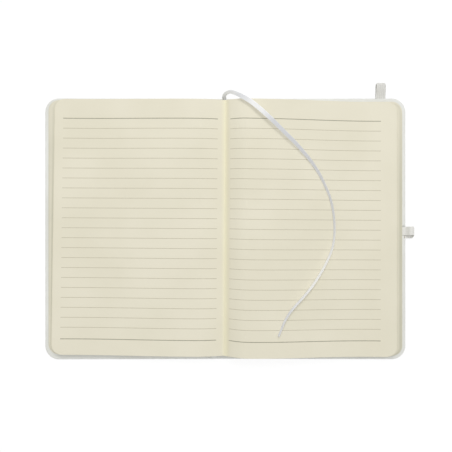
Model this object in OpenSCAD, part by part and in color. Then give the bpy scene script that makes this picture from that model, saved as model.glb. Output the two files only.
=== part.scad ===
// Case-bound ruled notebook, lying open at the middle on its covers.
// The origin is at the middle of the spine panel's underside. +X points to the
// right-hand page, +Y to the head and +Z up. All sizes are in millimetres.

/* [Case] */
// Height of the covers, from head to foot
cover_h = 210; // [150:1:260]
// Width of each cover board, from the joint to the fore-edge
panel_w = 131; // [110:1:160]
// Width of the spine panel
spine_w = 14; // [11:0.5:20]
// Width of the flexible joint on each side of the spine
joint_w = 7; // [6:0.5:10]
// Radius of the covers' outer corners
cover_corner_r = 11; // [6:0.5:14]
// Thickness of the cover boards
board_t = 2; // [1.8:0.1:3]
// Thickness of the spine board
spine_board_t = 1; // [0.8:0.1:1.4]
// Thickness of the cover material
skin_t = 0.6; // [0.4:0.1:0.8]
// Width of the cover material that is turned in over the boards
turn_in = 12; // [8:0.5:14]
// Thickness of the endpapers
endpaper_t = 0.2; // [0.15:0.05:0.4]

/* [Pages] */
// Cover left bare at the head of the pages
head_square = 2.8; // [1.5:0.1:6]
// Cover left bare at the foot of the pages
foot_square = 4.4; // [1.5:0.1:6]
// Cover left bare beyond the lowest leaf's fore-edge
fore_square = 3; // [1.5:0.1:6]
// Thickness of the leaves that lie on the front cover
left_stack_t = 5.8; // [4:0.1:7]
// Thickness of the leaves that lie on the back cover
right_stack_t = 4.6; // [3.5:0.1:7]
// How far the fore-edges fan out from the top leaf to the lowest
fan_w = 5.8; // [3:0.1:9]
// Number of steps that the fan is drawn with
fan_steps = 8; // [4:1:10]
// Radius of the leaves' outer corners
leaf_corner_r = 8; // [4:0.5:12]
// Height of the gutter above the endpapers
gutter_rise = 6.3; // [5.2:0.1:7]
// Height of the left page's hump above the endpapers
left_hump_rise = 10.1; // [8:0.1:11]
// Height of the right page's hump above the endpapers
right_hump_rise = 14.1; // [10:0.1:15]
// Distance of the left hump's crest from the gutter
left_hump_x = 22.5; // [16:0.5:36]
// Distance of the right hump's crest from the gutter
right_hump_x = 17.5; // [14:0.5:30]
// Distance from the gutter at which the left page lies flat
left_flat_x = 121; // [80:1:125]
// Distance from the gutter at which the right page lies flat
right_flat_x = 116; // [80:1:125]
// Width of the hollow under the gutter
hollow_w = 7; // [5:0.5:9]
// Paper left over the hollow's ridge
gutter_paper_t = 1.6; // [1:0.1:2]
// Thickness of the lining glued to the back of the leaves
lining_t = 0.3; // [0.2:0.1:0.5]

/* [Ruling] */
// Distance of the first line from the head of the page
first_line_y = 15.4; // [10:0.5:25]
// Gap between the first line and the second
head_gap = 7.9; // [6:0.1:12]
// Distance between the light lines
line_pitch = 7.9; // [6:0.1:8.2]
// Least space left under the bottom line
foot_margin = 10; // [8:0.5:16]
// Gap between the last light line and the bottom line
foot_gap = 9; // [6:0.1:12]
// Width of the light lines
light_line_w = 0.3; // [0.2:0.05:0.5]
// Width of the first and the last line
heavy_line_w = 0.5; // [0.3:0.05:0.8]
// Thickness of the printed lines
ink_t = 0.06; // [0.05:0.01:0.1]
// Where the left page's lines start, from the gutter
left_line_start = 5.9; // [4:0.1:12]
// Where the left page's lines end, from the gutter
left_line_end = 128.7; // [90:0.1:130]
// Where the right page's lines start, from the gutter
right_line_start = 4.1; // [4:0.1:12]
// Where the right page's lines end, from the gutter
right_line_end = 124.3; // [90:0.1:130]

/* [Elastic band] */
// Width of the closing band
band_w = 7.5; // [5:0.5:10]
// Thickness of the closing band
band_t = 0.7; // [0.5:0.1:0.9]
// Distance of the band's centre from the fore-edge
band_inset = 19.5; // [18:0.1:40]
// Distance of the band's slots from the head and the foot
slot_inset = 14; // [13:0.5:20]
// Length of each band end that is glued under the endpaper
band_tail = 12; // [8:1:20]
// How far the slack loop of the band reaches past the head
slack_reach = 13; // [9:0.1:20]
// Radius of the slack loop's end, on the band's middle line
slack_r = 1.6; // [1.4:0.1:2]

/* [Pen loop] */
// Width of the loop's elastic along the fore-edge
loop_w = 7; // [5:0.5:20]
// Thickness of the loop's elastic
loop_t = 0.7; // [0.5:0.1:0.8]
// Outer radius of the loop's two bends
loop_r = 3.3; // [3:0.1:5]
// Straight height between the loop's two bends
loop_straight = 2; // [2:0.1:5]
// Distance of the loop's middle from the middle of the cover, towards the foot
loop_drop = 1.8; // [0:0.1:60]
// Length of the loop's tail that is glued under the endpaper
loop_tail = 14; // [8:0.5:20]

/* [Ribbon] */
// Width of the page marker
ribbon_w = 4; // [3:0.5:5]
// Thickness of the page marker
ribbon_t = 0.3; // [0.2:0.05:0.4]

/* [Fits] */
// Running gap between the pages and the covers
seat_gap = 0.1; // [0.1:0.05:0.3]
// Running gap between the covers' hinge beads and the spine
bead_gap = 0.05; // [0.05:0.01:0.1]
// Clearance round the band and the loop in the case
slot_gap = 0.15; // [0.1:0.05:0.3]
// Gap between the two plies of the band under the cover
ply_gap = 0.1; // [0.1:0.05:0.3]

/* [Hidden] */
$fn = 64;

// Case
cover_t = skin_t + board_t;
spine_t = skin_t + spine_board_t;
fold_t = 2 * skin_t;
board_x = spine_w / 2 + joint_w;
fore_x = board_x + panel_w;
head_y = cover_h / 2;
hinge_x = (spine_w + joint_w) / 2;
hinge_z = skin_t / 2;

// The back cover rests on two plies of the band, so it leans up a little
band_x = fore_x - band_inset;
band_stack = 2 * band_t + ply_gap;
lift_reach = band_x - band_w / 2 - hinge_x;
lift = atan2(hinge_z + band_stack, lift_reach)
    - asin(hinge_z / norm([lift_reach, hinge_z + band_stack]));

// Pages
leaf_x = fore_x - fore_square;
page_h = cover_h - head_square - foot_square;
light_lines = floor((page_h - first_line_y - head_gap - foot_gap - foot_margin) / line_pitch) + 1;
page_y = (foot_square - head_square) / 2;
paper_z = cover_t + endpaper_t + seat_gap;
gutter_z = paper_z + gutter_rise;
ridge_z = gutter_z - gutter_paper_t;
rise_steps = 6;
fall_steps = 10;
left_stations = stations(left_hump_x, left_flat_x);
right_stations = stations(right_hump_x, right_flat_x);
left_top = [for (u = left_stations)
    [u, page_top(u, left_hump_x, left_flat_x, left_hump_rise, left_stack_t, 0)]];
right_top = [for (u = right_stations)
    [u, page_top(u, right_hump_x, right_flat_x, right_hump_rise, right_stack_t, lift)]];
top_line = concat([for (i = [len(left_top) - 1:-1:1]) [-left_top[i].x, left_top[i].y]],
    right_top);
under_line = [
    [-fore_x, paper_z],
    [-hollow_w / 2, paper_z],
    [0, ridge_z],
    [hollow_w / 2, lean_z(hollow_w / 2, lift)],
    [fore_x, lean_z(fore_x, lift)]
];

// Stations across one page, close together where the paper curves
function stations(hump_x, flat_x) = concat(
    [for (i = [0:rise_steps]) hump_x * i / rise_steps],
    [for (i = [1:fall_steps]) hump_x + (flat_x - hump_x) * i / fall_steps],
    [fore_x]);
// Underside of the leaves over a cover that leans by an angle
function lean_z(u, angle) = hinge_z + (u - hinge_x) * tan(angle)
    + (paper_z - hinge_z) / cos(angle);
// Upper side of an open page at a distance from the gutter
function page_top(u, hump_x, flat_x, hump_rise, stack_t, angle) =
    u < hump_x
    ? gutter_z + (hump_rise - gutter_rise) * sin(90 * u / hump_x)
    : lean_z(u, angle) + stack_t
        + (paper_z + hump_rise - lean_z(hump_x, angle) - stack_t) * fall(u, hump_x, flat_x);
// Smooth fall from 1 at the hump's crest to 0 where the page lies flat
function fall(u, hump_x, flat_x) =
    (1 + cos(180 * min(1, (u - hump_x) / (flat_x - hump_x)))) / 2;

// Band path in the back cover's own frame, as points along Y and Z
slot_y = head_y - slot_inset;
bend_r = band_t;
inner_z = cover_t - band_t / 2;
outer_z = -band_t / 2;
low_z = -band_stack + band_t / 2;
tip_y = head_y + slack_reach - band_t / 2;
slack_y = tip_y - slack_r;
slack_z = low_z + 2 * slack_r;
band_path = concat(
    [[slot_y - band_tail, inner_z]],
    arc([slot_y - bend_r, inner_z - bend_r], bend_r, 90, 0, 4),
    arc([slot_y + bend_r, outer_z + bend_r], bend_r, 180, 270, 4),
    [for (i = [0:8]) [head_y + (slack_y - head_y) * i / 8,
        outer_z + (slack_z - outer_z) * (1 - cos(180 * i / 8)) / 2]],
    arc([slack_y, low_z + slack_r], slack_r, 75, -90, 10),
    arc([bend_r - slot_y, low_z + bend_r], bend_r, 270, 180, 4),
    arc([bend_r - slot_y, inner_z - bend_r], bend_r, 180, 90, 4),
    [[band_tail - slot_y, inner_z]]);

// Points on an arc between two angles
function arc(centre, r, from, to, steps) =
    [for (i = [0:steps]) centre + r * dir(from + (to - from) * i / steps)];
// Unit vector at an angle in a plane
function dir(a) = [cos(a), sin(a)];
// Unit vector along a vector
function unit(v) = v / norm(v);
// Direction of a path at one of its points
function along(path, i) = unit(path[min(i + 1, len(path) - 1)] - path[max(i - 1, 0)]);
// One side of a flat path of even thickness
function side(path, off) =
    [for (i = [0:len(path) - 1]) path[i] + off * [-along(path, i).y, along(path, i).x]];

// Pen loop in the back cover's own frame
loop_x = fore_x + slot_gap + loop_r;
loop_half_h = loop_r + loop_straight / 2;
loop_z = loop_half_h + ply_gap - (loop_x - hinge_x) * tan(lift);
tail_z = cover_t - 2 * loop_t;

// Route of the page marker from the hollow behind the pages to its loose end:
// x, y and z of its middle line, and how far it is turned about that line
ribbon_route = [
    [-0.7, 86, 2.3, 0], [-0.7, 93.2, 2.3, 0], [-0.8, 99.3, 2.4, 0], [-0.9, 102.9, 3.1, 0],
    [-1, 103.8, 4.2, -14], [-1.1, 104.3, 5.4, -28], [-1.1, 104.8, 7, -42],
    [-0.6, 105.8, 10, -56], [0.8, 106.6, 13.4, -64], [3.7, 106.9, 16.4, -61],
    [7.7, 105.3, 18.8, -54], [13.1, 102.2, 20.8, -46], [20.3, 97.6, 22.2, -40],
    [28.3, 90.8, 22.9, -40], [36.8, 83, 22.7, -42], [45.3, 74.9, 21.4, -45],
    [53.6, 67.1, 19.8, -50], [61.1, 59.3, 17.9, -57], [68.1, 51.1, 16, -62],
    [73.8, 42.7, 14.7, -64], [78.5, 33.5, 13.9, -66], [82.3, 24.4, 13.4, -67],
    [84.7, 14, 13.1, -69], [85.7, 4.3, 13, -70], [85.6, -5.6, 13, -70],
    [83.9, -15.5, 13.2, -70], [79.5, -25.9, 13.8, -70], [74, -35.7, 14.6, -70],
    [67.8, -44.9, 15.4, -70], [61.2, -52.8, 16.2, -70], [54.9, -59.5, 17, -70],
    [49.6, -65.8, 17.6, -70], [45.8, -72.2, 18, -70], [43.1, -78.7, 18.2, -68],
    [41.1, -83.6, 18.3, -66]
];
// Middle line's point, direction and the ribbon's own sideways and upward directions
function ribbon_at(i) = let(p = ribbon_route[i]) [p[0], p[1], p[2]];
function ribbon_dir(i) =
    unit(ribbon_at(min(i + 1, len(ribbon_route) - 1)) - ribbon_at(max(i - 1, 0)));
function ribbon_side(i) = unit(cross(ribbon_dir(i), [0, 0, 1]));
function ribbon_up(i) = cross(ribbon_side(i), ribbon_dir(i));
// Eight-sided flat section
ribbon_section = [
    for (c = [[1, 0.25], [0.5, 0.5], [-0.5, 0.5], [-1, 0.25],
              [-1, -0.25], [-0.5, -0.5], [0.5, -0.5], [1, -0.25]])
        [c[0] * ribbon_w / 2, c[1] * ribbon_t]
];
function ribbon_point(i, c) = let(a = ribbon_route[i][3])
    ribbon_at(i)
    + ribbon_side(i) * (c[0] * cos(a) - c[1] * sin(a))
    + ribbon_up(i) * (c[0] * sin(a) + c[1] * cos(a));

// Shared shapes

// Outline with one square side at x = 0 and two rounded corners at x = w
module leaf_outline(w, h, r) {
    translate([0, -h / 2]) square([w - r, h]);
    translate([0, r - h / 2]) square([w, h - 2 * r]);
    for (s = [-1, 1]) translate([w - r, s * (h / 2 - r)]) circle(r = r);
}

// Panel with a full round edge on three sides and a square cut at x = 0
module wrapped_panel(w, h, t, r) {
    e = t / 2;
    linear_extrude(t) leaf_outline(w - e, h - t, r - e);
    for (s = [-1, 1]) {
        translate([0, s * (h / 2 - e), e]) rotate([0, 90, 0]) cylinder(r = e, h = w - r);
        translate([w - r, s * (h / 2 - r), e]) rotate([0, 0, s > 0 ? 0 : -90])
            rotate_extrude(angle = 90) translate([r - e, 0]) circle(r = e);
    }
    translate([w - e, h / 2 - r, e]) rotate([90, 0, 0]) cylinder(r = e, h = h - 2 * r);
}

// Strip of folded cover material along the head and the foot of a joint
module joint_skin(x0, x1) {
    translate([x0, skin_t - head_y, 0]) cube([x1 - x0, cover_h - fold_t, skin_t]);
    for (s = [0, 1]) mirror([0, s, 0]) {
        translate([x0, head_y - turn_in, 0]) cube([x1 - x0, turn_in - skin_t, fold_t]);
        translate([x0, head_y - skin_t, skin_t]) rotate([0, 90, 0])
            cylinder(r = skin_t, h = x1 - x0);
    }
}

// Turns what it holds up with the leaning back cover
module leaning() {
    translate([hinge_x, 0, hinge_z]) rotate([0, -lift, 0]) translate([-hinge_x, 0, -hinge_z])
        children();
}

// Board of one cover, pressed thinner where the cover material is turned in
module board_shape() {
    translate([board_x, 0, skin_t]) linear_extrude(board_t - skin_t)
        leaf_outline(panel_w - skin_t, cover_h - fold_t, cover_corner_r - skin_t);
    translate([board_x, turn_in - head_y, skin_t])
        cube([panel_w - turn_in, cover_h - 2 * turn_in, board_t]);
}

// Cover material of one cover, with its hinge bead
module skin_shape() {
    difference() {
        translate([board_x, 0, 0]) wrapped_panel(panel_w, cover_h, cover_t, cover_corner_r);
        board_shape();
    }
    joint_skin(hinge_x, board_x);
    translate([hinge_x, head_y - skin_t, hinge_z]) rotate([90, 0, 0])
        cylinder(r = hinge_z, h = cover_h - fold_t);
}

// Endpaper pasted to one board
module endpaper_shape() {
    translate([board_x, page_y, cover_t]) linear_extrude(endpaper_t)
        leaf_outline(leaf_x - board_x, page_h, leaf_corner_r);
}

// Room in the back board and its cover material for the band and the loop
module band_room() {
    room_w = band_w + 2 * slot_gap;
    below = 1;
    for (s = [0, 1]) mirror([0, s, 0]) translate([band_x - room_w / 2, 0, 0]) {
        translate([0, slot_y - band_t / 2 - slot_gap, -below])
            cube([room_w, band_t + 2 * slot_gap, cover_t + below]);
        translate([0, slot_y - band_tail - slot_gap, cover_t - band_t])
            cube([room_w, band_tail + slot_gap, band_t]);
        translate([0, slot_y - bend_r, inner_z - bend_r]) cube([room_w, bend_r, bend_r]);
        translate([0, slot_y, -below]) cube([room_w, bend_r, below + bend_r - band_t / 2]);
    }
}
module loop_room() {
    room_w = loop_w + 2 * slot_gap;
    translate([fore_x - loop_tail - slot_gap, -loop_drop - room_w / 2, tail_z])
        cube([loop_tail + 2 * slot_gap, room_w, 2 * loop_t]);
}

// Upright outline with two round ends, for the pen loop
module loop_outline(r) {
    translate([-r, -loop_straight / 2]) square([2 * r, loop_straight]);
    for (s = [-1, 1]) translate([0, s * loop_straight / 2]) circle(r = r);
}

// Pages

// Leaves up to one share of the stack's thickness, cut to their own outline
module leaves(share, reach) {
    intersection() {
        translate([0, page_y + page_h / 2, 0]) rotate([90, 0, 0]) linear_extrude(page_h)
            polygon(concat(
                [for (p = top_line)
                    [p.x, (1 - share) * lookup(p.x, under_line) + share * p.y]],
                [for (i = [len(under_line) - 1:-1:0]) under_line[i]]));
        translate([0, page_y, 0]) linear_extrude(2 * gutter_z + right_hump_rise)
            for (s = [0, 1]) mirror([s, 0]) leaf_outline(reach, page_h, leaf_corner_r);
    }
}
module page_block() {
    color([0.91, 0.88, 0.80])
        for (k = [1:fan_steps])
            leaves(k / fan_steps, leaf_x - fan_w * (k - 1) / (fan_steps - 1));
}

// One printed line across a page, lying on the paper
module line(x0, x1, y, w) {
    xs = concat([x0], [for (p = top_line) if (p.x > x0 && p.x < x1) p.x], [x1]);
    last = len(xs) - 1;
    translate([0, y + w / 2, 0]) rotate([90, 0, 0]) linear_extrude(w)
        polygon(concat(
            [for (x = xs) [x, lookup(x, top_line)]],
            [for (i = [last:-1:0]) [xs[i], lookup(xs[i], top_line) + ink_t]]));
}
module line_pair(y, w) {
    line(-left_line_end, -left_line_start, y, w);
    line(right_line_start, right_line_end, y, w);
}
module ruled_lines() {
    first_y = page_y + page_h / 2 - first_line_y;
    last_light_y = first_y - head_gap - (light_lines - 1) * line_pitch;
    color([0.72, 0.70, 0.63]) {
        line_pair(first_y, heavy_line_w);
        for (i = [0:light_lines - 1])
            line_pair(first_y - head_gap - i * line_pitch, light_line_w);
        line_pair(last_light_y - foot_gap, heavy_line_w);
    }
}
module spine_lining() {
    inset = hollow_w / 2;
    steep_t = lining_t * norm([inset, ridge_z - paper_z]) / inset;
    color([0.93, 0.91, 0.86])
        translate([0, page_y + page_h / 2, 0]) rotate([90, 0, 0]) linear_extrude(page_h)
            polygon([
                [-spine_w / 2, paper_z], [-inset, paper_z], [0, ridge_z],
                [inset, lean_z(inset, lift)], [spine_w / 2, lean_z(spine_w / 2, lift)],
                [spine_w / 2, lean_z(spine_w / 2, lift) - lining_t],
                [inset, lean_z(inset, lift) - lining_t],
                [0, ridge_z - steep_t],
                [-inset, paper_z - lining_t], [-spine_w / 2, paper_z - lining_t]
            ]);
}

// Spine

module spine_board_shape() {
    translate([-spine_w / 2, skin_t - head_y, skin_t])
        cube([spine_w, cover_h - fold_t, spine_board_t - skin_t]);
    translate([-spine_w / 2, turn_in - head_y, skin_t])
        cube([spine_w, cover_h - 2 * turn_in, spine_board_t]);
}
module spine_board() {
    color([0.70, 0.66, 0.58]) spine_board_shape();
}
module spine_cover() {
    e = spine_t / 2;
    reach = hinge_x - hinge_z - bead_gap;
    color([0.87, 0.88, 0.86]) {
        difference() {
            union() {
                translate([-spine_w / 2, e - head_y, 0]) cube([spine_w, cover_h - spine_t, spine_t]);
                for (s = [-1, 1]) translate([-spine_w / 2, s * (head_y - e), e])
                    rotate([0, 90, 0]) cylinder(r = e, h = spine_w);
            }
            spine_board_shape();
        }
        joint_skin(spine_w / 2, reach);
        joint_skin(-reach, -spine_w / 2);
    }
}

// Covers

module front_cover() {
    color([0.87, 0.88, 0.86]) mirror([1, 0, 0]) skin_shape();
}
module front_board() {
    color([0.70, 0.66, 0.58]) mirror([1, 0, 0]) board_shape();
}
module front_endpaper() {
    color([0.92, 0.89, 0.82]) mirror([1, 0, 0]) endpaper_shape();
}
module back_cover() {
    color([0.87, 0.88, 0.86]) leaning() difference() {
        skin_shape();
        band_room();
        loop_room();
    }
}
module back_board() {
    color([0.70, 0.66, 0.58]) leaning() difference() {
        board_shape();
        band_room();
        loop_room();
    }
}
module back_endpaper() {
    color([0.92, 0.89, 0.82]) leaning() endpaper_shape();
}
module elastic_band() {
    last = len(band_path) - 1;
    inner = side(band_path, -band_t / 2);
    color([0.81, 0.80, 0.78]) leaning()
        translate([band_x - band_w / 2, 0, 0]) rotate([90, 0, 90]) linear_extrude(band_w)
            polygon(concat(side(band_path, band_t / 2), [for (i = [last:-1:0]) inner[i]]));
}
module pen_loop() {
    color([0.81, 0.80, 0.78]) leaning() translate([0, loop_w / 2 - loop_drop, 0])
        rotate([90, 0, 0]) linear_extrude(loop_w) {
            difference() {
                translate([loop_x, loop_z]) loop_outline(loop_r);
                translate([loop_x, loop_z]) loop_outline(loop_r - loop_t);
            }
            translate([fore_x - loop_tail, tail_z])
                square([loop_tail + slot_gap + loop_t / 2, 2 * loop_t]);
        }
}

// Page marker

module ribbon() {
    rings = len(ribbon_route);
    n = len(ribbon_section);
    start = [for (j = [n - 1:-1:0]) j];
    finish = [for (j = [0:n - 1]) (rings - 1) * n + j];
    color([0.91, 0.92, 0.93]) polyhedron(
        points = [for (i = [0:rings - 1]) for (c = ribbon_section) ribbon_point(i, c)],
        faces = concat([start], [finish],
            [for (i = [0:rings - 2]) for (j = [0:n - 1])
                [i * n + j, i * n + (j + 1) % n, (i + 1) * n + j]],
            [for (i = [0:rings - 2]) for (j = [0:n - 1])
                [i * n + (j + 1) % n, (i + 1) * n + (j + 1) % n, (i + 1) * n + j]]));
}

page_block();
ruled_lines();
spine_lining();
spine_board();
spine_cover();
ribbon();
front_cover();
front_board();
front_endpaper();
back_cover();
back_board();
back_endpaper();
elastic_band();
pen_loop();
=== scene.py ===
import math
import random

import bmesh
import bpy
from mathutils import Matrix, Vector, noise


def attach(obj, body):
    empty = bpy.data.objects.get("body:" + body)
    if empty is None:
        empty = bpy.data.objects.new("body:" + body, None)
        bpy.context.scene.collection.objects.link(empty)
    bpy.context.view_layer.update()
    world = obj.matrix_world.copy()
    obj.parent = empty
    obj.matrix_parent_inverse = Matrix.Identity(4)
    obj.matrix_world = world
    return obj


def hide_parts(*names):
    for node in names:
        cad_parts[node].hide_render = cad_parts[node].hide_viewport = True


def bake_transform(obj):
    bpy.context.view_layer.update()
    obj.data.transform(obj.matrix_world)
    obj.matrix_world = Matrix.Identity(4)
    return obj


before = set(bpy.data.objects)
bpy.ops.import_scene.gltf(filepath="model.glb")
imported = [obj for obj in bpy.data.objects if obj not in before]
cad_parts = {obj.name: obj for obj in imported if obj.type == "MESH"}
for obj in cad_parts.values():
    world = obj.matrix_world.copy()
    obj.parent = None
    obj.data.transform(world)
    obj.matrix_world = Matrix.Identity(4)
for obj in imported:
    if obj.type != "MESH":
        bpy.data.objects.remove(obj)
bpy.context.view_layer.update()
random.seed(7)

# Sizes in millimetres, as in the CAD source. The side -1 is the left page and 1 the right one
MM = 0.001
WELD = 0.0005
SHARP = 38

# The case: its outer edges, where boards and spine begin, its hinge line and its materials
HEAD_Y = 105
FORE_X = 145
BOARD_X = 14
SPINE_X = 7
HINGE_X = 10.5
HINGE_Z = 0.3
COVER_R = 11
COVER_T = 2.6
SPINE_T = 1.6
SKIN_T = 0.6
TURN_IN = 12
LIFT = math.radians(0.7725)

# The leaves: their edges, the gutter, and the height and place of the humps on each side
PAGE_Y = 0.8
PAGE_HALF = 101.4
PAPER_Z = 2.9
GUTTER_Z = 9.2
RIDGE_Z = 7.6
HOLLOW_X = 3.5
LEAF_X = 142
FAN_W = 5.8
LEAF_R = 8
STACK_T = {-1: 5.8, 1: 4.6}
HUMP_X = {-1: 22.5, 1: 17.5}
HUMP_Z = {-1: 13, 1: 17}
FLAT_X = {-1: 121, 1: 116}

# How the leaves lie askew: all of them, the top ones more, and the right-hand ones lower
SKEW = math.tan(math.radians(0.39))
SHEAR = math.radians(0.45)
SHEAR_FALL = math.radians(0.0028)
RIGHT_DROP = 0.4
GUTTER_SHIFT = 0.6

# The closing band and the pen loop
BAND_X = 125.5
BAND_W = 7.5
BAND_T = 0.7
SLOT_Y = 91
BAND_REACH = 13
LOOP_Y = -1.8
LOOP_W = 7
LOOP_T = 0.7
LOOP_REACH = 6.75
LOOP_SPREAD = 2.6


def smooth(t):
    """Rises softly from 0 to 1 as t does."""
    t = min(1.0, max(0.0, t))
    return t * t * (3 - 2 * t)


def lean(x, y, z):
    """A point of the back cover, turned up about the hinge as the band holds it."""
    c, s = math.cos(LIFT), math.sin(LIFT)
    return (HINGE_X + (x - HINGE_X) * c - (z - HINGE_Z) * s, y,
            HINGE_Z + (x - HINGE_X) * s + (z - HINGE_Z) * c)


# ---- Colour and material helpers

def rgb(r, g, b):
    """A colour given as 0-255 sRGB, as the linear value that Blender takes."""
    def linear(v):
        v /= 255
        return v / 12.92 if v <= 0.04045 else ((v + 0.055) / 1.055) ** 2.4
    return (linear(r), linear(g), linear(b), 1)


class Material:
    """A procedural material: a Principled shader and the nodes that feed it."""

    def __init__(self, name, roughness=0.6, **fixed):
        self.made = bpy.data.materials.new(name)
        self.made.use_nodes = True
        self.tree = self.made.node_tree
        self.shader = self.tree.nodes["Principled BSDF"]
        self.shader.inputs["Roughness"].default_value = roughness
        for key, value in fixed.items():
            self.shader.inputs[key.replace("_", " ")].default_value = value
        self.place = self.node("TexCoord").outputs["Object"]

    def node(self, kind, settings=None, **inputs):
        made = self.tree.nodes.new("ShaderNode" + kind)
        for key, value in (settings or {}).items():
            setattr(made, key, value)
        for key, value in inputs.items():
            key = int(key[1:]) if key[0] == "i" and key[1:].isdigit() else key.replace("_", " ")
            self.put(made.inputs[key], value)
        return made

    def put(self, socket, value):
        if isinstance(value, bpy.types.NodeSocket):
            self.tree.links.new(value, socket)
        else:
            socket.default_value = value

    def noise(self, scale, detail=3.0, rough=0.5, place=None):
        return self.node("TexNoise", Vector=place or self.place, Scale=scale,
                         Detail=detail, Roughness=rough).outputs["Fac"]

    def math(self, operation, a, b=0.0):
        return self.node("Math", {"operation": operation}, i0=a, i1=b).outputs[0]

    def span(self, value, low, high, to_low=0.0, to_high=1.0):
        made = self.node("MapRange", None, Value=value)
        for socket, v in zip(("From Min", "From Max", "To Min", "To Max"),
                             (low, high, to_low, to_high)):
            made.inputs[socket].default_value = v
        return made.outputs["Result"]

    def mix(self, fac, a, b, blend="MIX"):
        return self.node("MixRGB", {"blend_type": blend}, Fac=fac, Color1=a, Color2=b).outputs[0]

    def attribute(self, name):
        return self.node("Attribute", {"attribute_name": name}).outputs["Fac"]

    def colour(self, value):
        self.put(self.shader.inputs["Base Color"], value)

    def rough(self, value):
        self.put(self.shader.inputs["Roughness"], value)

    def bump(self, height, strength, distance):
        made = self.node("Bump", None, Height=height, Strength=strength, Distance=distance)
        self.put(self.shader.inputs["Normal"], made.outputs["Normal"])


def paper(name, light, dark, gutter=None, edges=None, shade_bands=()):
    """Uncoated cream paper: cloudy tone, fine fibres and a soft tooth.

    The gutter colour is painted bounce light, warming and lightening the fold in the middle,
    and a thin band just right of it is painted shade of the fold. The edges colour streaks
    the single leaves with painted shade of the steps between them, and each shade band is a
    painted shadow line between them: its height in the pile, half height and depth.
    """
    m = Material(name, Specular_IOR_Level=0.25)
    tone = m.mix(m.span(m.noise(22, 2), 0.35, 0.65), rgb(*light), rgb(*dark))
    fibre = m.noise(2600, 5, 0.7)
    fleck = rgb(dark[0] - 26, dark[1] - 27, dark[2] - 30)
    tone = m.mix(m.span(fibre, 0.3, 0.7, 0, 0.1), tone, fleck)
    # Painted bounce light: the fold in the middle is lightened and warmed; a thin band just right
    # of it is darkened as painted shade of the fold.
    if gutter:
        across = m.node("SeparateXYZ", None, Vector=m.place).outputs["X"]
        near = m.math("ABSOLUTE", across)
        tone = m.mix(m.span(near, 0.0005, 0.0035, 0.55, 0), tone, rgb(*gutter))
        fold = m.math("ABSOLUTE", m.math("SUBTRACT", across, 0.002))
        tone = m.mix(m.span(fold, 0.0002, 0.0022, 0.2, 0), tone, rgb(*PAGE_FOLD_SHADE))
    # Painted shade on the fanned leaf edges: darker streaks at random heights stand for the shade
    # of the steps between leaves, each shade band is a painted shadow line between groups, and
    # all of it fades towards the head.
    if edges:
        leaf = m.attribute("leaf")
        up = m.node("SeparateXYZ", None, Vector=m.place).outputs["Y"]
        edge_shade_level = m.span(up, 0.02, 0.1, 1, 0.35)
        streak_shade = m.noise(60, 3, 0.6, m.node("CombineXYZ", None, X=leaf).outputs[0])
        streak_shade = m.math("MULTIPLY", m.span(streak_shade, 0.35, 0.65, 0, 0.45), edge_shade_level)
        tone = m.mix(streak_shade, tone, rgb(*edges))
        for middle, half, depth in shade_bands:
            off = m.math("ABSOLUTE", m.math("SUBTRACT", leaf, middle))
            gap_shade = m.math("MULTIPLY", m.span(off, half * 0.5, half, depth, 0), edge_shade_level)
            tone = m.mix(gap_shade, tone, rgb(*EDGE_GAP_SHADE))
    m.colour(tone)
    m.rough(m.span(m.noise(900, 3), 0.3, 0.7, 0.74, 0.9))
    m.bump(m.noise(1500, 5, 0.65), 0.25, 0.00006)
    return m.made


def leatherette(name, base, worn):
    """Coated cover material with a fine pebble grain, and a painted glow that lightens it near
    its outer edges.
    """
    m = Material(name, Specular_IOR_Level=0.4)
    cells = m.node("TexVoronoi", {"feature": "SMOOTH_F1"}, Vector=m.place, Scale=1300.0)
    crease = m.node("TexVoronoi", {"feature": "DISTANCE_TO_EDGE"}, Vector=m.place, Scale=700.0)
    tone = m.mix(m.span(m.noise(18, 3), 0.35, 0.65, 0, 0.35), rgb(*base), rgb(*worn))
    wear = m.math("MULTIPLY", m.attribute("edge"), m.span(m.noise(220, 4), 0.35, 0.7))
    tone = m.mix(m.math("MULTIPLY", wear, 0.5), tone, rgb(*worn))
    m.colour(tone)
    # Painted light: a faint glow near the outer edges lightens the rims, though the cover is no
    # lamp.
    m.put(m.shader.inputs["Emission Color"], rgb(250, 251, 250))
    m.put(m.shader.inputs["Emission Strength"], m.math("MULTIPLY", m.attribute("edge"), 0.04))
    m.rough(m.span(m.noise(400, 3), 0.3, 0.7, 0.46, 0.62))
    grain = m.math("ADD", cells.outputs["Distance"],
                   m.span(crease.outputs["Distance"], 0, 0.08, -0.35, 0))
    m.bump(grain, 0.35, 0.00012)
    return m.made


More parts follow.
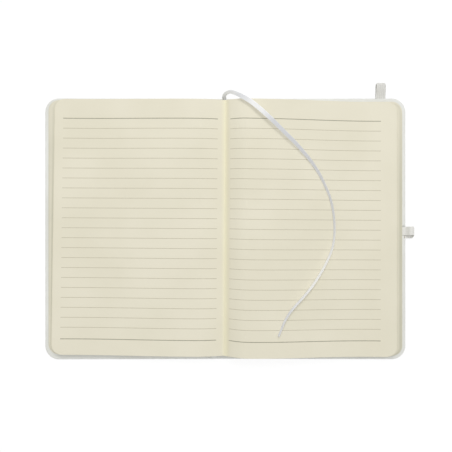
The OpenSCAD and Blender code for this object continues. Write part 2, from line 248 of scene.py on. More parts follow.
def woven(name, base, shade, rib, thread, strength, painted_highlights=(), **fixed):
    """Narrow woven cloth, with threads along and across the strip's own length.

    Each painted highlight lightens a stretch towards white: its middle along the strip, in
    metres, its half length and depth.
    """
    m = Material(name, **fixed)
    along, across = m.attribute("along"), m.attribute("across")
    warp = m.math("COSINE", m.math("MULTIPLY", across, 2 * math.pi / rib))
    weft = m.math("SINE", m.math("MULTIPLY", along, 2 * math.pi / thread))
    weave = m.math("ADD", warp, m.math("MULTIPLY", weft, 0.6))
    fuzz = m.noise(1800, 4, 0.6)
    # The valleys between the threads and ribs are darkened towards the shade colour: painted
    # shade.
    tone = m.mix(m.span(weave, -1.6, 1.6, 0.5, 0), rgb(*base), rgb(*shade))
    tone = m.mix(m.span(fuzz, 0.35, 0.65, 0, 0.25), tone, rgb(*shade))
    # Painted highlights: stretches of the strip lightened towards white.
    for middle, half, depth in painted_highlights:
        off = m.math("ABSOLUTE", m.math("SUBTRACT", along, middle))
        tone = m.mix(m.span(off, half * 0.3, half, depth, 0), tone, rgb(252, 252, 251))
    m.colour(tone)
    m.rough(m.span(fuzz, 0.3, 0.7, fixed["Roughness"] - 0.06, fixed["Roughness"] + 0.08))
    m.bump(m.math("ADD", weave, fuzz), strength, 0.00008)
    return m.made


def ink(name, tone, faded):
    m = Material(name, Specular_IOR_Level=0.2)
    m.colour(m.mix(m.span(m.noise(420, 4), 0.3, 0.7), rgb(*tone), rgb(*faded)))
    m.rough(m.span(m.noise(900, 2), 0.3, 0.7, 0.75, 0.9))
    return m.made


def greyboard(name):
    m = Material(name, Specular_IOR_Level=0.2)
    tone = m.mix(m.span(m.noise(60, 4), 0.35, 0.65), rgb(184, 176, 160), rgb(168, 160, 144))
    tone = m.mix(m.span(m.noise(1600, 4, 0.7), 0.55, 0.72), tone, rgb(120, 112, 98))
    m.colour(tone)
    m.rough(m.span(m.noise(800, 3), 0.3, 0.7, 0.82, 0.95))
    m.bump(m.noise(1200, 5), 0.4, 0.0001)
    return m.made


# Painted shade of the fold just right of the gutter.
PAGE_FOLD_SHADE = (198, 190, 164)
# Painted shadow in the lines between groups of leaf edges.
EDGE_GAP_SHADE = (150, 151, 126)
# The page's gutter colour is painted bounce light in the fold.
PAGE = paper("page_paper", (230, 225, 206), (226, 221, 201), gutter=(240, 235, 201))
# The edges colour and the shade bands paint shade onto the fanned leaf edges.
EDGES = {
    -1: paper("page_edges_left", (228, 223, 205), (221, 217, 199), edges=(198, 194, 174),
              shade_bands=((0.8, 0.24, 0.24), (0.04, 0.08, 0.35))),
    1: paper("page_edges_right", (228, 223, 205), (221, 217, 199), edges=(198, 194, 174),
             shade_bands=((0.93, 0.07, 0.5), (0.3, 0.26, 0.27))),
}
ENDPAPER = paper("endpaper", (229, 224, 208), (224, 219, 202))
LINING = paper("lining_paper", (222, 216, 200), (210, 203, 186))
SKIN = leatherette("white_leatherette", (228, 229, 224), (206, 205, 197))
# Painted light on the satin: its lightened stretches are painted highlights, and its small
# emission is a painted glow that lifts it in shade.
SATIN = woven("white_satin", (219, 220, 225), (199, 201, 207), 0.00022, 0.0003, 0.12,
              painted_highlights=((0.027, 0.02, 0.6), (0.058, 0.017, 0.75), (0.212, 0.04, 0.6)),
              Roughness=0.42, Sheen_Weight=0.2, Sheen_Roughness=0.35, Specular_IOR_Level=0.5,
              Emission_Color=rgb(226, 231, 236), Emission_Strength=0.12)
# The pen loop's elastic is a lighter copy of the band's, with less painted shade in its rib
# valleys.
SOFT_ELASTIC = woven("grey_elastic_loop", (232, 231, 226), (216, 215, 209), 0.0014, 0.0005, 0.12,
                     Roughness=0.75, Sheen_Weight=0.2, Sheen_Roughness=0.5)
ELASTIC = woven("grey_elastic", (228, 227, 222), (190, 189, 183), 0.0015, 0.0005, 0.5,
                Roughness=0.75, Sheen_Weight=0.2, Sheen_Roughness=0.5)
INK_LIGHT = ink("ruling_light", (184, 177, 156), (193, 187, 167))
INK_HEAVY = ink("ruling_heavy", (148, 145, 127), (160, 157, 139))
BOARD = greyboard("greyboard")


# ---- Mesh helpers: everything is drawn in millimetres

def make(name, verts, faces, body, materials, face_materials=None, sharp=SHARP,
         attributes=None):
    """A piece from points in millimetres, welded, with its normals out and its edges marked."""
    bm = bmesh.new()
    layers = {key: bm.verts.layers.float.new(key) for key in attributes or {}}
    points = [bm.verts.new(v) for v in verts]
    for key, layer in layers.items():
        for point, value in zip(points, attributes[key]):
            point[layer] = value
    for i, face in enumerate(faces):
        made = bm.faces.new([points[k] for k in face])
        made.material_index = face_materials[i] if face_materials else 0
        made.smooth = True
    bmesh.ops.remove_doubles(bm, verts=bm.verts, dist=WELD)
    bmesh.ops.recalc_face_normals(bm, faces=bm.faces)
    limit = math.radians(sharp)
    for edge in bm.edges:
        edge.smooth = len(edge.link_faces) == 2 and edge.calc_face_angle(0) < limit
    bmesh.ops.scale(bm, vec=(MM, MM, MM), verts=bm.verts)
    mesh = bpy.data.meshes.new(name)
    bm.to_mesh(mesh)
    bm.free()
    piece = bpy.data.objects.new(name, mesh)
    bpy.context.scene.collection.objects.link(piece)
    for material in materials:
        mesh.materials.append(material)
    if body:
        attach(piece, body)
    return piece


def rings(count, size, closed_ring=True, closed_path=False):
    """Quads between rows of points that follow each other in one list."""
    faces = []
    for i in range(count if closed_path else count - 1):
        k = (i + 1) % count
        for j in range(size if closed_ring else size - 1):
            n = (j + 1) % size
            faces.append((i * size + j, i * size + n, k * size + n, k * size + j))
    return faces


def leaf_columns(start, reach, half, radius, steps, arc=8):
    """Columns across a leaf from the gutter out: distance and half height at each."""
    flat = reach - radius
    made = [(start + (flat - start) * t, half) for t in steps]
    for i in range(1, arc + 1):
        a = math.pi / 2 * (1 - i / arc)
        made.append((flat + radius * math.cos(a), half - radius + radius * math.sin(a)))
    return made


def grid_of(columns, rows):
    return [[(u, h * (1 - 2 * r / rows)) for r in range(rows + 1)] for u, h in columns]


def rim_of(grid):
    """The grid's outer points, once round."""
    last, rows = len(grid) - 1, len(grid[0]) - 1
    return ([grid[c][0] for c in range(last + 1)] + [grid[last][r] for r in range(1, rows + 1)]
            + [grid[c][rows] for c in range(last - 1, -1, -1)]
            + [grid[0][r] for r in range(rows - 1, 0, -1)])


class Pile:
    """Closed solid of stacked outlines: a bottom grid, walls and a top grid."""

    def __init__(self):
        self.verts, self.faces, self.kinds, self.leaf = [], [], [], []

    def add(self, points, leaf=0.0):
        start = len(self.verts)
        self.verts += points
        self.leaf += [leaf] * len(points)
        return start

    def cap(self, grid, leaf, kind=0):
        rows = len(grid[0])
        start = self.add([p for column in grid for p in column], leaf)
        for c in range(len(grid) - 1):
            for r in range(rows - 1):
                a = start + c * rows + r
                self.faces.append((a, a + 1, a + rows + 1, a + rows))
                self.kinds.append(kind)

    def wall(self, lower, upper, low_leaf, high_leaf, kind=0):
        a, b, n = self.add(lower, low_leaf), self.add(upper, high_leaf), len(lower)
        for i in range(n):
            k = (i + 1) % n
            self.faces.append((a + i, a + k, b + k, b + i))
            self.kinds.append(kind)


def attribute_rows(path, section):
    """Along and across, in metres, for a strip that is swept along a path."""
    along, total = [], 0.0
    for i, p in enumerate(path):
        total += (Vector(p) - Vector(path[i - 1])).length if i else 0.0
        along += [total * MM] * len(section)
    return {"along": along, "across": [c[0] * MM for _ in path for c in section]}


# ---- Camera, as the photograph was taken: from above, over the middle of the pages

camera = bpy.data.objects.new("camera", bpy.data.cameras.new("camera"))
bpy.context.scene.collection.objects.link(camera)
bpy.context.scene.camera = camera
camera.location = (-0.00328, 0.0023, 0.43739)
camera.rotation_euler = [math.radians(a) for a in (0, -0.49, -0.01)]
camera.data.sensor_width = 36
camera.data.lens = 43.01
camera.data.clip_start = 0.01

# ---- Page marker: a limp flat cord along the route in the CAD source

RIBBON_W = 4
RIBBON_T = 0.3
ROUTE = [
    (-0.7, 86, 2.3, 0), (-0.7, 93.2, 2.3, 0), (-0.8, 99.3, 2.4, 0), (-0.9, 102.9, 3.1, 0),
    (-1, 103.8, 4.2, -14), (-1.1, 104.3, 5.4, -28), (-1.1, 104.8, 7, -42),
    (-0.6, 105.8, 10, -56), (0.8, 106.6, 13.4, -64), (3.7, 106.9, 16.4, -61),
    (7.7, 105.3, 18.8, -54), (13.1, 102.2, 20.8, -46), (20.3, 97.6, 22.2, -40),
    (28.3, 90.8, 22.9, -42), (36.8, 83, 22.7, -48), (45.3, 74.9, 21.4, -52),
    (53.6, 67.1, 19.8, -56), (61.1, 59.3, 17.9, -61), (68.1, 51.1, 16, -66),
    (73.8, 42.7, 14.7, -70), (78.5, 33.5, 13.9, -74), (82.3, 24.4, 13.4, -77),
    (84.7, 14, 13.1, -78), (85.7, 4.3, 13, -79), (85.6, -5.6, 13, -79),
    (83.9, -15.5, 13.2, -79), (79.5, -25.9, 13.8, -78), (74, -35.7, 14.6, -77),
    (67.8, -44.9, 15.4, -76), (61.2, -52.8, 16.2, -76), (54.9, -59.5, 17, -76),
    (49.6, -65.8, 17.6, -77), (45.8, -72.2, 18, -78), (43.1, -78.7, 18.2, -79),
    (41.1, -83.6, 18.3, -80),
]


def spline(points, steps):
    """A smooth line through the points, with some steps between each two."""
    made = []
    last = len(points) - 1
    for i in range(last):
        p = [Vector(points[max(0, min(last, i + k))]) for k in (-1, 0, 1, 2)]
        for j in range(steps):
            t = j / steps
            made.append(0.5 * (2 * p[1] + (p[2] - p[0]) * t
                               + (2 * p[0] - 5 * p[1] + 4 * p[2] - p[3]) * t * t
                               + (3 * p[1] - p[0] - 3 * p[2] + p[3]) * t ** 3))
    return made + [Vector(points[last])]


def make_ribbon():
    line = spline(ROUTE, 5)
    path = [Vector(p[:3]) for p in line]
    section = []
    half_steps = 6
    for i in range(2 * half_steps + 1):
        t = i / half_steps - 1
        bulge = 0.42 + 0.08 * abs(t) ** 6 - 0.32 * max(0, abs(t) - 0.93) / 0.07
        section.append((t * RIBBON_W / 2, bulge * RIBBON_T))
    section += [(a, -b) for a, b in reversed(section)]
    verts = []
    for i, p in enumerate(path):
        ahead = (path[min(i + 1, len(path) - 1)] - path[max(i - 1, 0)]).normalized()
        side = ahead.cross(Vector((0, 0, 1))).normalized()
        up = side.cross(ahead)
        turn = math.radians(line[i][3])
        for a, b in section:
            verts.append(p + side * (a * math.cos(turn) - b * math.sin(turn))
                         + up * (a * math.sin(turn) + b * math.cos(turn)))
    n = len(section)
    faces = rings(len(path), n)
    faces += [tuple(range(n)), tuple((len(path) - 1) * n + i for i in range(n))]
    piece = make("ribbon_marker", verts, faces, "book", [SATIN],
                 attributes=attribute_rows(path, section))
    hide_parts("ribbon")


make_ribbon()


# ---- Pages

def lean_z(u):
    return HINGE_Z + (u - HINGE_X) * math.tan(LIFT) + (PAPER_Z - HINGE_Z) / math.cos(LIFT)


def rest_z(side, u):
    """Plane that the leaves of one side lie on."""
    return lean_z(u) if side > 0 else PAPER_Z


def under_z(side, u):
    if u >= HOLLOW_X:
        return rest_z(side, u)
    return RIDGE_Z + (rest_z(side, HOLLOW_X) - RIDGE_Z) * u / HOLLOW_X


def top_z(side, u):
    hump = HUMP_X[side]
    if u < hump:
        return GUTTER_Z + (HUMP_Z[side] - GUTTER_Z) * math.sin(math.pi / 2 * u / hump)
    fall = (1 + math.cos(math.pi * min(1, (u - hump) / (FLAT_X[side] - hump)))) / 2
    base = rest_z(side, u) + STACK_T[side]
    return base + (HUMP_Z[side] - rest_z(side, hump) - STACK_T[side]) * fall


def cockle(side, u, y, amount=0.09):
    """Slow waves that paper takes, growing away from the gutter."""
    w = noise.noise(Vector((u * 0.02 * side + 3.1, y * 0.017, 1.7 * side)))
    w += 0.4 * noise.noise(Vector((u * 0.06 * side, y * 0.045 + 5.2, 4.0)))
    return amount * w * smooth(u / 40)


def page_point(side, u, y, z, share=1.0):
    """A point of the leaves in the frame; the leaves lie a little askew, most at the top."""
    x = side * u - GUTTER_SHIFT * (1 - smooth(u / 60))
    drop = RIGHT_DROP * smooth(u / 25) if side > 0 else 0
    return (x + share * y * (SHEAR - SHEAR_FALL * x), PAGE_Y + y - x * SKEW - drop, z)


# A pile: room for its loose top leaves, groups of leaves with a groove between them, rows
# from head to foot, and steps from the gutter to the fore-edge
LOOSE_T = 0.42
LEAF_T = 0.09
GROUPS = 44
LEAF_GROOVE = 0.16
ROWS = 24
STEPS = [0, 0.004, 0.008, 0.013, 0.02, 0.03, 0.04, 0.052, 0.066, 0.082, 0.1, 0.118, 0.135,
         0.152, 0.17, 0.19, 0.212, 0.236, 0.262, 0.29, 0.32, 0.36, 0.4, 0.45, 0.5, 0.56,
         0.62, 0.68, 0.74, 0.8, 0.86, 0.92, 0.97, 1]


def make_block(side, name):
    """One side's leaves as a closed pile whose edges show the single leaves."""
    pile = Pile()
    signature = [random.uniform(-0.35, 0.35) for _ in range(8)]
    reach = LEAF_X
    levels = []
    for k in range(GROUPS):
        low, high = k / GROUPS, (k + 1) / GROUPS
        fan = FAN_W * (k / (GROUPS - 1)) ** 1.05
        part = signature[k * 8 // GROUPS] * smooth(k / 6) * smooth((GROUPS - 1 - k) / 3)
        reach = min(reach + 0.1, LEAF_X - fan + part + random.uniform(-0.1, 0.1))
        half = PAGE_HALF - random.uniform(0.02, 0.12)
        thick = 0.82 * (high - low)
        levels.append((low, reach - LEAF_GROOVE, half - LEAF_GROOVE))
        levels.append((low + 0.1 * (high - low), reach, half))
        levels.append((low + thick, reach, half))
        levels.append((high, reach - LEAF_GROOVE, half - LEAF_GROOVE))

    def point(share, u, y):
        low = under_z(side, u)
        z = low + share * (top_z(side, u) - LOOSE_T - low)
        return page_point(side, u, y, z + share * share * cockle(side, u, y), share)

    def grid(level):
        share, far, half = level
        plan = grid_of(leaf_columns(0, far, half, LEAF_R, STEPS), ROWS)
        return [[point(share, u, y) for u, y in column] for column in plan]

    grids = [grid(level) for level in levels]
    rims = [rim_of(g) for g in grids]
    pile.cap(grids[0], 0.0)
    for i in range(len(levels) - 1):
        pile.wall(rims[i], rims[i + 1], levels[i][0], levels[i + 1][0], kind=1)
    pile.cap(grids[-1], 1.0)
    return make(name, pile.verts, pile.faces, "book", [PAGE, EDGES[side]],
                face_materials=pile.kinds, attributes={"leaf": pile.leaf}, sharp=30)


def leaf_z(side, index, u, y, reach):
    """Upper surface of one of the three loose leaves on top of a pile."""
    lift = ((0.02, 0.08, 0.2), (0.03, 0.12, 0.45))[side > 0][index]
    curl = smooth((u - reach + 30) / 34) ** 2 * (1 + 0.35 * math.sin(y * 0.031 + side))
    return (top_z(side, u) - LOOSE_T + 0.11 + 0.13 * index + cockle(side, u, y)
            + lift * curl)


FINE_STEPS = STEPS[:15] + [0.18 + 0.82 * i / 64 for i in range(65)]


def make_loose(side, index):
    """One of the loose leaves on top of a pile; the last one carries the printed lines."""
    reach = LEAF_X - FAN_W + (0.5, 0.15, -0.15)[index] + random.uniform(-0.05, 0.05)
    half = PAGE_HALF - (0.05, 0.1, 0.03)[index]
    steps = FINE_STEPS if index == 2 else STEPS
    plan = grid_of(leaf_columns((0.3, 0.15, 0)[index], reach, half, LEAF_R, steps, 10), 48)
    top = [[page_point(side, u, y, leaf_z(side, index, u, y, reach)) for u, y in column]
           for column in plan]
    low = [[(x, y, z - LEAF_T) for x, y, z in column] for column in top]
    pile = Pile()
    pile.cap(low, 0.0)
    pile.wall(rim_of(low), rim_of(top), 0.0, 1.0)
    pile.cap(top, 1.0)
    name = "leaf_%s_%d" % ("right" if side > 0 else "left", index + 1)
    make(name, pile.verts, pile.faces, "book", [PAGE])
    return reach


block_left = make_block(-1, "leaves_left")
block_right = make_block(1, "leaves_right")
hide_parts("page_block")
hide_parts("page_block")
top_reach = {}
for page_side in (-1, 1):
    for leaf in range(3):
        top_reach[page_side] = make_loose(page_side, leaf)

# ---- Printed lines, laid on the top leaves

FIRST_LINE_Y = 86
LINE_GAPS = [7.88] * 21 + [9.2]
LINE_SPAN = {-1: (6.1, 129.7), 1: (3.8, 123.5)}
LAST_LINE = len(LINE_GAPS)


def make_lines(name, which, width, material):
    verts, faces = [], []
    for side in (-1, 1):
        y = FIRST_LINE_Y
        for i in range(LAST_LINE + 1):
            if i in which:
                add_line(verts, faces, side, y, width)
            if i < LAST_LINE:
                y -= LINE_GAPS[i]
    piece = make(name, verts, faces, "book", [material])
    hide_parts("ruled_lines")


def add_line(verts, faces, side, y, width):
    """A thin strip along one line, a little sunk into the leaf, with a slightly uneven width."""
    start, end = LINE_SPAN[side]
    count = 64
    base = len(verts)
    for i in range(count + 1):
        u = start + (end - start) * i / count
        half = width / 2 * (1 + 0.12 * noise.noise(Vector((u * 0.7, y, side))))
        for dy, dz in ((half, 0.025), (-half, 0.025), (-half, -0.03), (half, -0.03)):
            z = leaf_z(side, 2, u, y + dy, top_reach[side])
            verts.append(page_point(side, u, y + dy, z + dz))
    faces += [tuple(base + k for k in face) for face in rings(count + 1, 4)]
    faces.append((base, base + 1, base + 2, base + 3))
    faces.append(tuple(base + count * 4 + k for k in range(4)))


make_lines("ruling_light", range(1, LAST_LINE), 0.36, INK_LIGHT)
make_lines("ruling_heavy", (0, LAST_LINE), 0.55, INK_HEAVY)


# ---- Covers

def cover_plan(inset):
    """Plan of one cover panel, drawn in by an inset, from the joint round to the joint."""
    radius = max(COVER_R - inset, 0.4)
    steps = [i / 40 for i in range(41)]
    return leaf_columns(BOARD_X, FORE_X - inset, HEAD_Y - inset, radius, steps, 12)


def wrap_section():
    """Cover material from the underside round the edge to its turned-in end."""
    e = COVER_T / 2
    made = [(TURN_IN, 0), (8, 0), (4, 0), (2, 0)]
    for i in range(13):
        a = math.pi * (i / 12 - 0.5)
        made.append((e - e * math.cos(a), e + e * math.sin(a)))
    made += [(2, COVER_T), (4, COVER_T), (8, COVER_T), (TURN_IN - 0.3, COVER_T),
             (TURN_IN, COVER_T - 0.15), (TURN_IN, COVER_T - SKIN_T), (8, COVER_T - SKIN_T),
             (1.2, COVER_T - SKIN_T), (SKIN_T, 1.5), (SKIN_T, 1.1), (1.2, SKIN_T), (8, SKIN_T),
             (TURN_IN, SKIN_T)]
    return made


def edge_value(x, y):
    """How near a point of a cover is to the cover's outer edge, from 0 to 1."""
    near = min(FORE_X - abs(x), HEAD_Y - abs(y))
    cx, cy = abs(x) - (FORE_X - COVER_R), abs(y) - (HEAD_Y - COVER_R)
    if cx > 0 and cy > 0:
        near = COVER_R - math.hypot(cx, cy)
    return smooth(1 - near / 2.2)


def make_cover(side, name, body, node):
    """One cover's skin, wrapped round its board and turned in, with pleats at the corners."""
    rows = 48
    section = wrap_section()
    pile = Pile()

    def place(x, y, z):
        ripple = 0.05 * noise.noise(Vector((x * 0.05, y * 0.05, 7.0 * side)))
        z += ripple if z < 0.01 or z > COVER_T - 0.01 else 0
        if side > 0:
            return lean(x, y, max(z, 0))
        return (-x, y, max(z, 0))

    outlines = []
    for inset, z in section:
        outline = []
        columns = cover_plan(inset)
        grid = grid_of(columns, rows)
        last = len(grid) - 1
        path = ([grid[c][0] for c in range(last + 1)]
                + [grid[last][r] for r in range(1, rows + 1)]
                + [grid[c][rows] for c in range(last - 1, -1, -1)])
        for x, y in path:
            corner = x > FORE_X - COVER_R and abs(y) > HEAD_Y - COVER_R
            pleat = 0.0
            if corner and z > COVER_T - 0.3 and inset > 1.5:
                angle = math.atan2(abs(y) - HEAD_Y + COVER_R, x - FORE_X + COVER_R)
                pleat = 0.12 * max(0, math.cos(angle * 28)) * smooth((inset - 1.3) / 2)
            outline.append(place(x, y, z - pleat))
        outlines.append(outline)
    size = len(outlines[0])
    for lower, upper in zip(outlines, outlines[1:]):
        a, b = pile.add(lower), pile.add(upper)
        for i in range(size - 1):
            pile.faces.append((a + i, a + i + 1, b + i + 1, b + i))
            pile.kinds.append(0)
    for z in (0, SKIN_T):
        inner = grid_of(cover_plan(TURN_IN), rows)
        pile.cap([[place(x, y, z) for x, y in column] for column in inner], 0.0)
    piece = make(name, pile.verts, pile.faces, None, [SKIN])
    close_ends(piece)
    if side > 0:
        cut_slots(piece)
    finish_cover(piece)
    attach(piece, body)
    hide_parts(node)


def close_ends(piece):
    """Closes the panel's open side at the joint."""
    bm = bmesh.new()
    bm.from_mesh(piece.data)
    edges = [e for e in bm.edges if e.is_boundary]
    bmesh.ops.holes_fill(bm, edges=edges, sides=0)
    bmesh.ops.recalc_face_normals(bm, faces=bm.faces)
    for edge in bm.edges:
        if edge.calc_face_angle(0) > math.radians(SHARP):
            edge.smooth = False
    bm.to_mesh(piece.data)
    bm.free()


def box_cutter(low, high):
    """A box in the leaning cover's frame, to cut with."""
    corners = [lean(x, y, z) for x in (low[0], high[0]) for y in (low[1], high[1])
               for z in (low[2], high[2])]
    faces = [(0, 1, 3, 2), (4, 6, 7, 5), (0, 4, 5, 1), (2, 3, 7, 6), (0, 2, 6, 4), (1, 5, 7, 3)]
    return make("cutter", corners, faces, None, [SKIN])


def cut_slots(piece):
    """Cuts the band's two slots and the pen loop's recess and notch into the back cover."""
    play = 0.15
    half = BAND_W / 2 + play
    wide = BAND_T / 2 + play
    boxes = [((BAND_X - half, s * SLOT_Y - wide, -1), (BAND_X + half, s * SLOT_Y + wide, 2))
             for s in (-1, 1)]
    room = LOOP_W / 2 + 0.05
    floor_z, top_of_cut, past_edge = 1.15, 2.65, FORE_X + 2
    recess = ((FORE_X - 15, LOOP_Y - room, floor_z), (past_edge, LOOP_Y + room, top_of_cut))
    notch = ((FORE_X - 1.3, LOOP_Y - room - 2.2, floor_z), (past_edge, LOOP_Y, top_of_cut))
    boxes += [recess, notch]
    for low, high in boxes:
        cutter = box_cutter(low, high)
        cut = piece.modifiers.new("slot", "BOOLEAN")
        cut.operation = "DIFFERENCE"
        cut.solver = "EXACT"
        cut.object = cutter
        evaluated = piece.evaluated_get(bpy.context.evaluated_depsgraph_get())
        mesh = bpy.data.meshes.new_from_object(evaluated)
        piece.modifiers.clear()
        piece.data = mesh
        bpy.data.objects.remove(cutter)


def finish_cover(piece):
    """Marks how near each point is to the outer edge, for wear and for the painted glow in the
    material.
    """
    mesh = piece.data
    values = [edge_value(v.co.x / MM, v.co.y / MM) for v in mesh.vertices]
    layer = mesh.attributes.get("edge") or mesh.attributes.new("edge", "FLOAT", "POINT")
    layer.data.foreach_set("value", values)


make_cover(-1, "cover_front", "front", "front_cover")
make_cover(1, "cover_back", "back", "back_cover")


def strip_section(fold):
    """Cover material across the spine or a joint: flat, folded in at head and foot."""
    made = []
    for s in (1, -1):
        half = []
        for i in range(9):
            a = math.pi * (i / 8 - 0.5)
            half.append((s * (HEAD_Y - fold / 2 + fold / 2 * math.cos(a)),
                         fold / 2 + fold / 2 * math.sin(a)))
        half += [(s * (HEAD_Y - TURN_IN + 0.2), fold), (s * (HEAD_Y - TURN_IN), SKIN_T)]
        made += half if s > 0 else half[::-1]
    return made


def make_strip(name, x0, x1, count, fold, shape, body):
    """A strip of cover material from x0 to x1, shaped by shape(x, y, z)."""
    section = strip_section(fold)
    verts = []
    for i in range(count + 1):
        x = x0 + (x1 - x0) * i / count
        verts += [shape(x, y, z) for y, z in section]
    n = len(section)
    faces = rings(count + 1, n)
    faces += [tuple(range(n)), tuple(count * n + k for k in range(n))]
    # Nearness to the head and foot edges, for wear and for the painted glow of the cover
    # material.
    edge = [smooth(1 - (HEAD_Y - abs(v[1])) / 1.6) for v in verts]
    piece = make(name, verts, faces, body, [SKIN], attributes={"edge": edge})
    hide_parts("spine_cover")
    return piece


def spine_shape(x, y, z):
    """The spine panel, with softly rounded long edges."""
    round_off = 0.35 * smooth((abs(x) - 6) / 1)
    return (x, y, z + round_off if z < 0.1 else z - round_off if z > 1 else z)


def joint_shape(x, y, z):
    """The pressed groove between the spine and a cover, a little uneven."""
    t = (abs(x) - SPINE_X) / (BOARD_X - SPINE_X)
    dip = 0.55 * math.sin(math.pi * min(1, max(0, t))) ** 2
    dip *= 1 + 0.12 * noise.noise(Vector((x * 0.1, y * 0.08, 2.0)))
    z = z + 0.03 + dip
    if x > 0 and t > 0:
        z += max(0, x - HINGE_X) * math.tan(LIFT) * smooth(t)
    return (x, y, z)


make_strip("spine_skin", -SPINE_X, SPINE_X, 24, SPINE_T, spine_shape, "book")
for joint_side, joint_body in ((-1, "front"), (1, "back")):
    inner_x, outer_x = joint_side * (SPINE_X - 0.3), joint_side * (BOARD_X + 0.3)
    strip = make_strip("joint_" + joint_body, inner_x, outer_x, 18, 2 * SKIN_T, joint_shape, None)
    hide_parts("front_cover" if joint_side < 0 else "back_cover")
    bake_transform(strip)


# ---- Elastic band and pen loop

def arc(centre, radius, start, end, steps):
    return [(centre[0] + radius * math.cos(math.radians(start + (end - start) * i / steps)),
             centre[1] + radius * math.sin(math.radians(start + (end - start) * i / steps)))
            for i in range(steps + 1)]


def elastic_section(width, thick, ribs):
    """Flat section with lengthwise ribs and soft edges."""
    count = ribs * 6
    top = []
    for i in range(count + 1):
        t = 2 * i / count - 1
        rib = 0.5 + 0.5 * math.cos(math.pi * (t + 1) * ribs + math.pi)
        soft = math.sqrt(max(0.0, 1 - max(0.0, (abs(t) - 0.93) / 0.07) ** 2))
        top.append((t * width / 2, (thick / 2) * (0.72 + 0.28 * rib) * (0.15 + 0.85 * soft)))
    return top + [(a, -b) for a, b in reversed(top)]


def sweep_flat(path, section):
    """Points of a flat strip along a path in a plane: (plane a, plane b, across, normal)."""
    rows = []
    for i, p in enumerate(path):
        q, r = path[max(i - 1, 0)], path[min(i + 1, len(path) - 1)]
        dx, dy = r[0] - q[0], r[1] - q[1]
        size = math.hypot(dx, dy)
        rows.append([(p[0] - dy / size * b, p[1] + dx / size * b, a) for a, b in section])
    return rows


def make_band():
    """The band: in through a slot, round past the head in a slack loop, and along the back."""
    inner_z = COVER_T - BAND_T / 2
    outer_z = -BAND_T / 2
    low_z = -2 * BAND_T - 0.1 + BAND_T / 2
    bend = BAND_T
    tip_r = 1.6
    tip_y = HEAD_Y + BAND_REACH - BAND_T / 2 - tip_r
    end_z = low_z + 2 * tip_r
    path = [(SLOT_Y - 12, inner_z), (SLOT_Y - 6, inner_z)]
    path += arc((SLOT_Y - bend, inner_z - bend), bend, 90, 0, 6)
    path += arc((SLOT_Y + bend, outer_z + bend), bend, 180, 270, 6)
    path += [(HEAD_Y + (tip_y - HEAD_Y) * i / 12,
              outer_z + (end_z - outer_z) * (1 - math.cos(math.pi * i / 12)) / 2)
             for i in range(13)]
    path += arc((tip_y, low_z + tip_r), tip_r, 75, -90, 14)
    path += [(tip_y + (bend - SLOT_Y - tip_y) * i / 40, low_z) for i in range(1, 40)]
    path += arc((bend - SLOT_Y, low_z + bend), bend, 270, 180, 6)
    path += arc((bend - SLOT_Y, inner_z - bend), bend, 180, 90, 6)
    path += [(6 - SLOT_Y, inner_z), (12 - SLOT_Y, inner_z)]
    section = elastic_section(BAND_W, BAND_T, 5)
    verts = []
    for row in sweep_flat(path, section):
        for y, z, a in row:
            t = a / (BAND_W / 2)
            out = smooth((y - HEAD_Y - 1) / 9)
            y -= out * (0.9 * abs(t) ** 5 + 0.3 * math.exp(-(t / 0.22) ** 2))
            x = BAND_X + a * (1 + 0.06 * (1 - out))
            verts.append(lean(x, y, z))
    n = len(section)
    faces = rings(len(path), n)
    faces += [tuple(range(n)), tuple((len(path) - 1) * n + i for i in range(n))]
    points = [(0, y, z) for y, z in path]
    piece = make("closing_band", verts, faces, "back", [ELASTIC], sharp=60,
                 attributes=attribute_rows(points, section))
    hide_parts("elastic_band")


def make_loop():
    """The pen loop: its upper ply rises from the recess, its lower ply returns to it."""
    r = 2.5
    tip_x = FORE_X + LOOP_REACH - LOOP_T / 2 - r
    tip_z = 4.4 - (tip_x - HINGE_X) * math.tan(LIFT)
    upper_z, lower_z = 2.2, 1.5
    path = [(FORE_X - 14, upper_z), (FORE_X - 6, upper_z), (FORE_X - 2.4, upper_z),
            (FORE_X - 1.2, 2.24), (FORE_X - 0.5, 2.35), (FORE_X + 0.2, 2.6), (FORE_X + 0.8, 3),
            (FORE_X + 1.3, 3.5)]
    upper_count = len(path) + 4
    path += arc((tip_x, tip_z), r, 145, -115, 24)
    path += [(FORE_X + 1.9, 0.75), (FORE_X + 0.7, 1.2), (FORE_X - 0.5, 1.46),
             (FORE_X - 1.6, lower_z), (FORE_X - 6, lower_z), (FORE_X - 14, lower_z)]
    section = elastic_section(LOOP_W, LOOP_T, 5)
    verts = []
    for i, row in enumerate(sweep_flat(path, section)):
        below = smooth((tip_z + r - path[i][1]) / (2 * r)) if i > upper_count else 0
        out = smooth((path[i][0] - FORE_X) / 3)
        drift = 0.2 * out - LOOP_SPREAD * below * smooth((path[i][0] - FORE_X + 2.6) / 1.5)
        pinch = 1 - 0.1 * smooth((path[i][0] - tip_x - r + 1.2) / 1.2)
        for x, z, a in row:
            verts.append(lean(x, LOOP_Y + drift + a * pinch, z))
    n = len(section)
    faces = rings(len(path), n)
    faces += [tuple(range(n)), tuple((len(path) - 1) * n + i for i in range(n))]
    points = [(x, 0, z) for x, z in path]
    piece = make("pen_elastic", verts, faces, "back", [SOFT_ELASTIC], sharp=60,
                 attributes=attribute_rows(points, section))
    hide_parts("pen_loop")


make_band()
make_loop()

# ---- Materials of the CAD parts that stay

KEPT = {
    "spine_lining": LINING,
    "spine_board": BOARD,
    "front_board": BOARD,
    "back_board": BOARD,
    "front_endpaper": ENDPAPER,
    "back_endpaper": ENDPAPER,
}
for node_name, kept_material in KEPT.items():
    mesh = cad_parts[node_name].data
    mesh.materials.clear()
    mesh.materials.append(kept_material)


# ---- Table, light and view settings, in metres

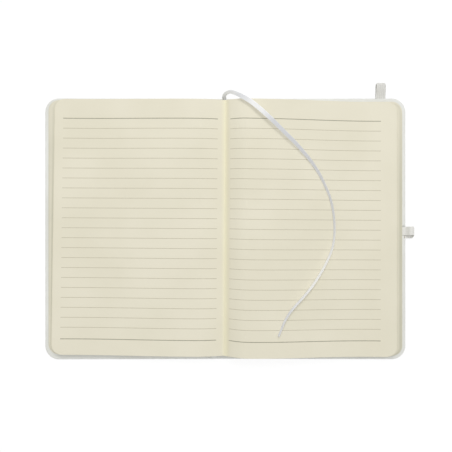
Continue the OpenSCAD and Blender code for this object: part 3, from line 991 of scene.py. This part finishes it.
FLOOR_GLOW = 0.14
FLOOR_SHARE = 0.5
FLOOR_SHARE_SEEN = 0.18
WORLD_LEVEL = 0.57


def make_floor():
    """A pale table top that keeps the shadow and lets what hangs below it show through."""
    mesh = bpy.data.meshes.new("floor")
    half = 3.0
    drop = -0.0002
    mesh.from_pydata([(-half, -half, drop), (half, -half, drop), (half, half, drop),
                      (-half, half, drop)], [], [(0, 1, 2, 3)])
    floor = bpy.data.objects.new("floor", mesh)
    bpy.context.scene.collection.objects.link(floor)
    made = bpy.data.materials.new("floor")
    made.use_nodes = True
    tree = made.node_tree
    tree.nodes.clear()
    out = tree.nodes.new("ShaderNodeOutputMaterial")
    diffuse = tree.nodes.new("ShaderNodeBsdfDiffuse")
    diffuse.inputs["Color"].default_value = (1, 1, 1, 1)
    glow = tree.nodes.new("ShaderNodeEmission")
    glow.inputs["Strength"].default_value = FLOOR_GLOW
    lit = tree.nodes.new("ShaderNodeAddShader")
    clear = tree.nodes.new("ShaderNodeBsdfTransparent")
    path = tree.nodes.new("ShaderNodeLightPath")
    share = tree.nodes.new("ShaderNodeMapRange")
    share.inputs["To Min"].default_value = FLOOR_SHARE
    share.inputs["To Max"].default_value = FLOOR_SHARE_SEEN
    above = tree.nodes.new("ShaderNodeNewGeometry")
    front = tree.nodes.new("ShaderNodeMath")
    front.operation = "SUBTRACT"
    front.inputs[0].default_value = 1
    fac = tree.nodes.new("ShaderNodeMath")
    fac.operation = "MULTIPLY"
    mix = tree.nodes.new("ShaderNodeMixShader")
    link = tree.links.new
    link(path.outputs["Is Camera Ray"], share.inputs["Value"])
    link(above.outputs["Backfacing"], front.inputs[1])
    link(share.outputs["Result"], fac.inputs[0])
    link(front.outputs[0], fac.inputs[1])
    link(fac.outputs[0], mix.inputs["Fac"])
    link(clear.outputs[0], mix.inputs[1])
    link(diffuse.outputs[0], lit.inputs[0])
    link(glow.outputs[0], lit.inputs[1])
    link(lit.outputs[0], mix.inputs[2])
    link(mix.outputs[0], out.inputs["Surface"])
    mesh.materials.append(made)


def make_world():
    """Even white surroundings; the camera, gloss and glass see them as plain white."""
    world = bpy.data.worlds.new("studio")
    bpy.context.scene.world = world
    world.use_nodes = True
    tree = world.node_tree
    background = tree.nodes["Background"]
    background.inputs["Color"].default_value = (1, 1, 1, 1)
    path = tree.nodes.new("ShaderNodeLightPath")
    seen = tree.nodes.new("ShaderNodeMath")
    seen.operation = "MAXIMUM"
    seen_glass = tree.nodes.new("ShaderNodeMath")
    seen_glass.operation = "MAXIMUM"
    level = tree.nodes.new("ShaderNodeMapRange")
    level.inputs["To Min"].default_value = WORLD_LEVEL
    level.inputs["To Max"].default_value = 1.0
    link = tree.links.new
    link(path.outputs["Is Camera Ray"], seen.inputs[0])
    link(path.outputs["Is Glossy Ray"], seen.inputs[1])
    link(seen.outputs[0], seen_glass.inputs[0])
    link(path.outputs["Is Transmission Ray"], seen_glass.inputs[1])
    link(seen_glass.outputs[0], level.inputs["Value"])
    link(level.outputs["Result"], background.inputs["Strength"])


def make_lamp(name, place, size, power):
    """A round soft lamp that points at the middle of the notebook."""
    data = bpy.data.lights.new(name, "AREA")
    data.shape = "DISK"
    data.size = size
    data.energy = power
    lamp = bpy.data.objects.new(name, data)
    bpy.context.scene.collection.objects.link(lamp)
    lamp.location = place
    lamp.rotation_euler = (-Vector(place)).to_track_quat("-Z", "Y").to_euler()


make_floor()
make_world()
make_lamp("ceiling", (0.02, 0.25, 1.3), 1.2, 5.2)
make_lamp("window", (0.06, 0.62, 1.1), 0.45, 3.5)
bpy.context.scene.view_settings.view_transform = "Standard"
